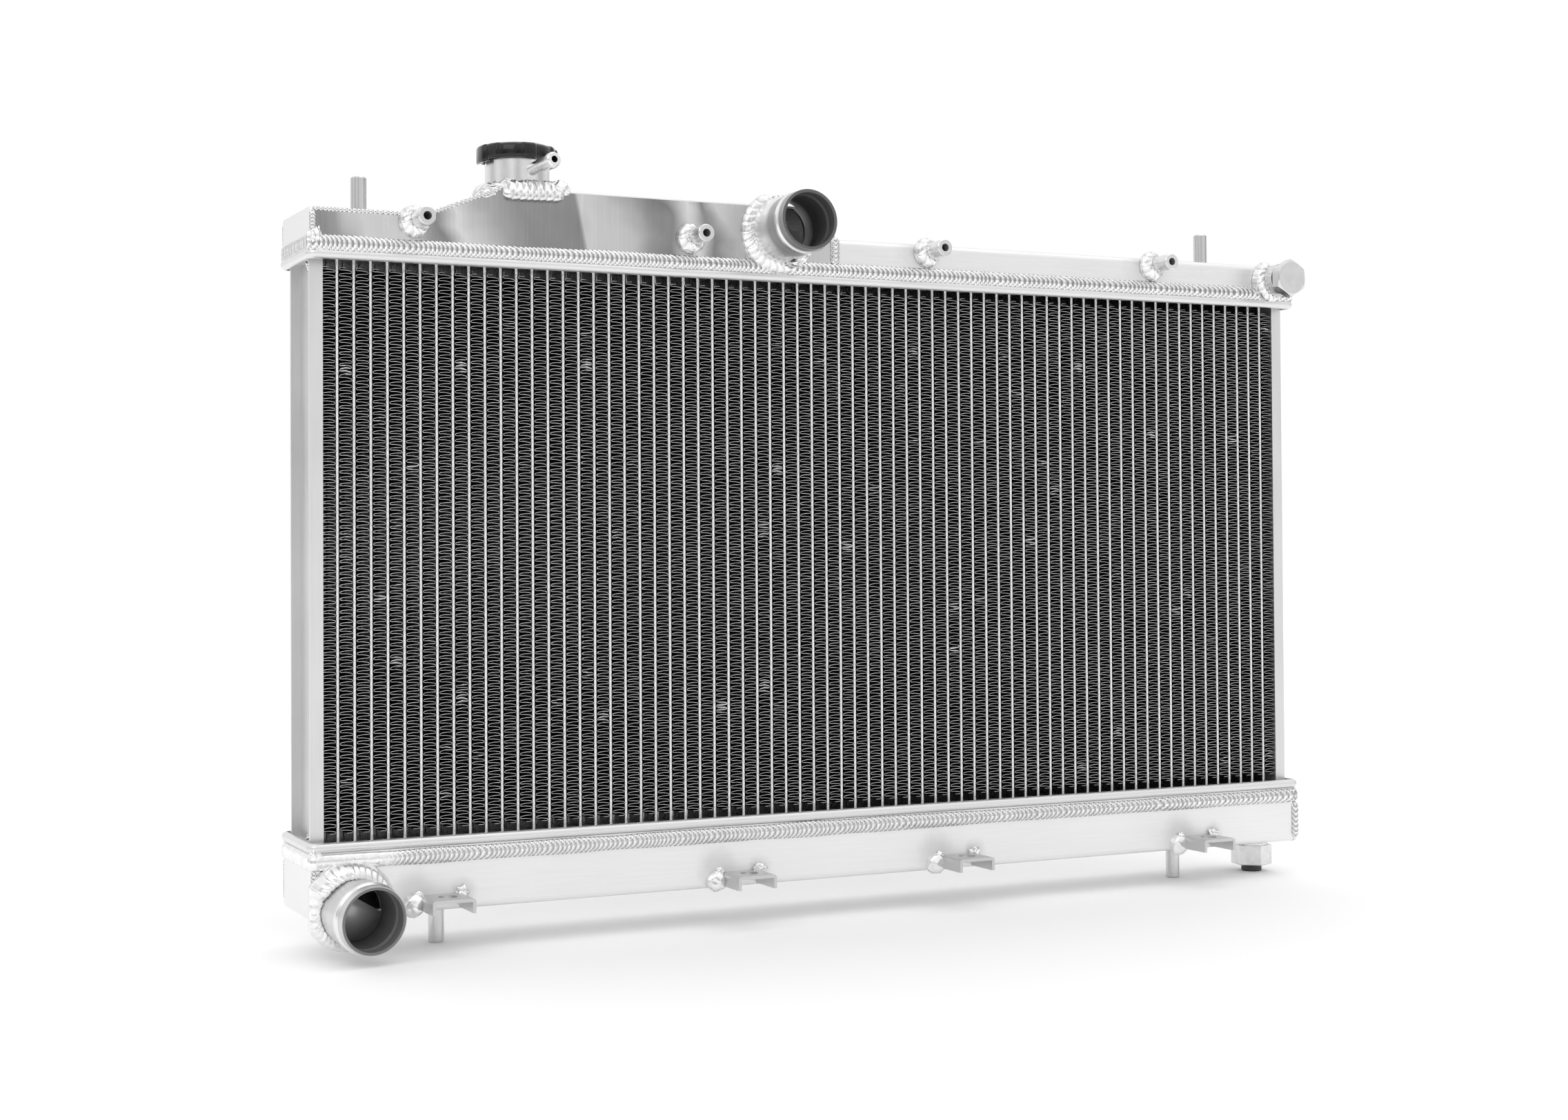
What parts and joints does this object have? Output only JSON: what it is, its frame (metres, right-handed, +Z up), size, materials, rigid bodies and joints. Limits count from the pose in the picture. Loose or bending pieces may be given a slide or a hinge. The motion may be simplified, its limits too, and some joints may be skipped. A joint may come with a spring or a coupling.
{
  "type": "car radiator",
  "caption": "All-aluminium car radiator: finned tube core between two welded tanks, with hose pipes, filler neck and pressure cap, mounting pins and shroud fixings.",
  "frame": {"origin": "middle of the overall box at the level of the lower pins' ends", "axes": "+Z up along the tubes, +X along the core's width, -Y the side the hose pipes face"},
  "size_m": [0.712, 0.11, 0.4835],
  "materials": {
    "bare_tube": "brazed flat tube with a bright edge",
    "fin_stock": "thin fin sheet, dull and dark between the tubes",
    "brushed_sheet": "brushed mill-finish sheet",
    "satin_sheet": "satin rolled sheet",
    "weld_bead": "bright rippled weld",
    "turned_aluminium": "lathe-turned",
    "hose_pipe": "satin spun tube",
    "cap_black": "glossy black",
    "cap_steel": "plated spring steel",
    "valve_brass": "plain brass",
    "seal_rubber": "smooth rubber",
    "drain_dark": "dark moulded plastic"
  },
  "bodies": {
    "radiator": {"bleed_boss": "turned_aluminium", "boss_welds": "weld_bead", "bracket_welds": "weld_bead", "drain_boss": "turned_aluminium", "end_cap_welds": "weld_bead", "filler_neck": "turned_aluminium", "fin_strips": "fin_stock", "front_row_tubes": "bare_tube", "inlet_pipe": "hose_pipe", "inlet_weld": "weld_bead", "left_side_plate": "satin_sheet", "lower_header_plate": "satin_sheet", "lower_left_pin": "turned_aluminium", "lower_right_pin": "turned_aluminium", "lower_seam_weld": "weld_bead", "lower_tank_channel": "satin_sheet", "lower_tank_left_end_cap": "satin_sheet", "lower_tank_right_end_cap": "satin_sheet", "neck_weld": "weld_bead", "outlet_pipe": "hose_pipe", "outlet_saddle": "satin_sheet", "outlet_weld": "weld_bead", "overflow_nipple": "turned_aluminium", "plug_boss_welds": "weld_bead", "rear_row_tubes": "bare_tube", "right_side_plate": "satin_sheet", "shroud_bosses": "turned_aluminium", "shroud_bracket_1": "satin_sheet", "shroud_bracket_2": "satin_sheet", "shroud_bracket_3": "satin_sheet", "shroud_bracket_4": "satin_sheet", "side_plate_tacks": "weld_bead", "upper_header_plate": "satin_sheet", "upper_left_pin": "turned_aluminium", "upper_right_pin": "turned_aluminium", "upper_seam_weld": "weld_bead", "upper_tank_back_plate": "brushed_sheet", "upper_tank_edge_welds": "weld_bead", "upper_tank_front_plate": "brushed_sheet", "upper_tank_left_end_cap": "brushed_sheet", "upper_tank_low_channel": "brushed_sheet", "upper_tank_right_end_cap": "brushed_sheet", "upper_tank_step_wall": "brushed_sheet", "upper_tank_top_plate": "brushed_sheet"},
    "cap_valve_set": {"cap_gasket": "seal_rubber", "valve_bell": "cap_steel", "cap_rivet": "cap_steel", "pressure_spring": "cap_steel"},
    "cap": {"cap_cover": "cap_black", "cap_locking_plate": "cap_steel"},
    "pressure_valve": {"pressure_valve_plate": "valve_brass", "pressure_valve_seal": "seal_rubber", "vacuum_spring": "cap_steel"},
    "vacuum_valve": {"vacuum_valve": "valve_brass"},
    "bleed_washer": {"bleed_seal": "cap_steel"},
    "bleed_plug": {"bleed_plug": "turned_aluminium"},
    "drain_washer": {"drain_seal": "seal_rubber"},
    "drain_plug": {"drain_plug": "drain_dark"}
  },
  "joints": [
    {"name": "cap_rise", "type": "slide", "parent": "radiator", "child": "cap_valve_set", "axis": [0, 0, 1], "range_m": [0, 0.0015]},
    {"name": "cap_turn", "type": "hinge", "parent": "cap_valve_set", "child": "cap", "pos_m": [-0.217, 0.02, 0.478], "axis": [0, 0, 1], "range_deg": [0, 90]},
    {"name": "pressure_valve_lift", "type": "slide", "parent": "cap_valve_set", "child": "pressure_valve", "axis": [0, 0, 1], "range_m": [0, 0.0025], "stiffness_N_per_m": 9000, "springref_m": -0.006, "deforming": ["pressure_spring"]},
    {"name": "vacuum_valve_drop", "type": "slide", "parent": "pressure_valve", "child": "vacuum_valve", "axis": [0, 0, -1], "range_m": [0, 0.0015], "stiffness_N_per_m": 150, "springref_m": -0.002, "deforming": ["vacuum_spring"]},
    {"name": "bleed_travel", "type": "slide", "parent": "radiator", "child": "bleed_washer", "axis": [0, -1, 0], "range_m": [0, 0.009]},
    {"name": "bleed_turn", "type": "hinge", "parent": "bleed_washer", "child": "bleed_plug", "pos_m": [0.335, -0.029, 0.4228], "axis": [0, -1, 0], "range_deg": [0, 2160]},
    {"name": "drain_travel", "type": "slide", "parent": "radiator", "child": "drain_washer", "axis": [0, 0, -1], "range_m": [0, 0.009]},
    {"name": "drain_turn", "type": "hinge", "parent": "drain_washer", "child": "drain_plug", "pos_m": [0.3395, 0.02, 0.005], "axis": [0, 0, -1], "range_deg": [0, 2160]}
  ],
  "couplings": [
    {"joint": "cap_rise", "follows": "cap_turn", "m_per_rad": 0.00095493},
    {"joint": "bleed_travel", "follows": "bleed_turn", "m_per_rad": 0.00023873},
    {"joint": "drain_travel", "follows": "drain_turn", "m_per_rad": 0.00023873}
  ]
}
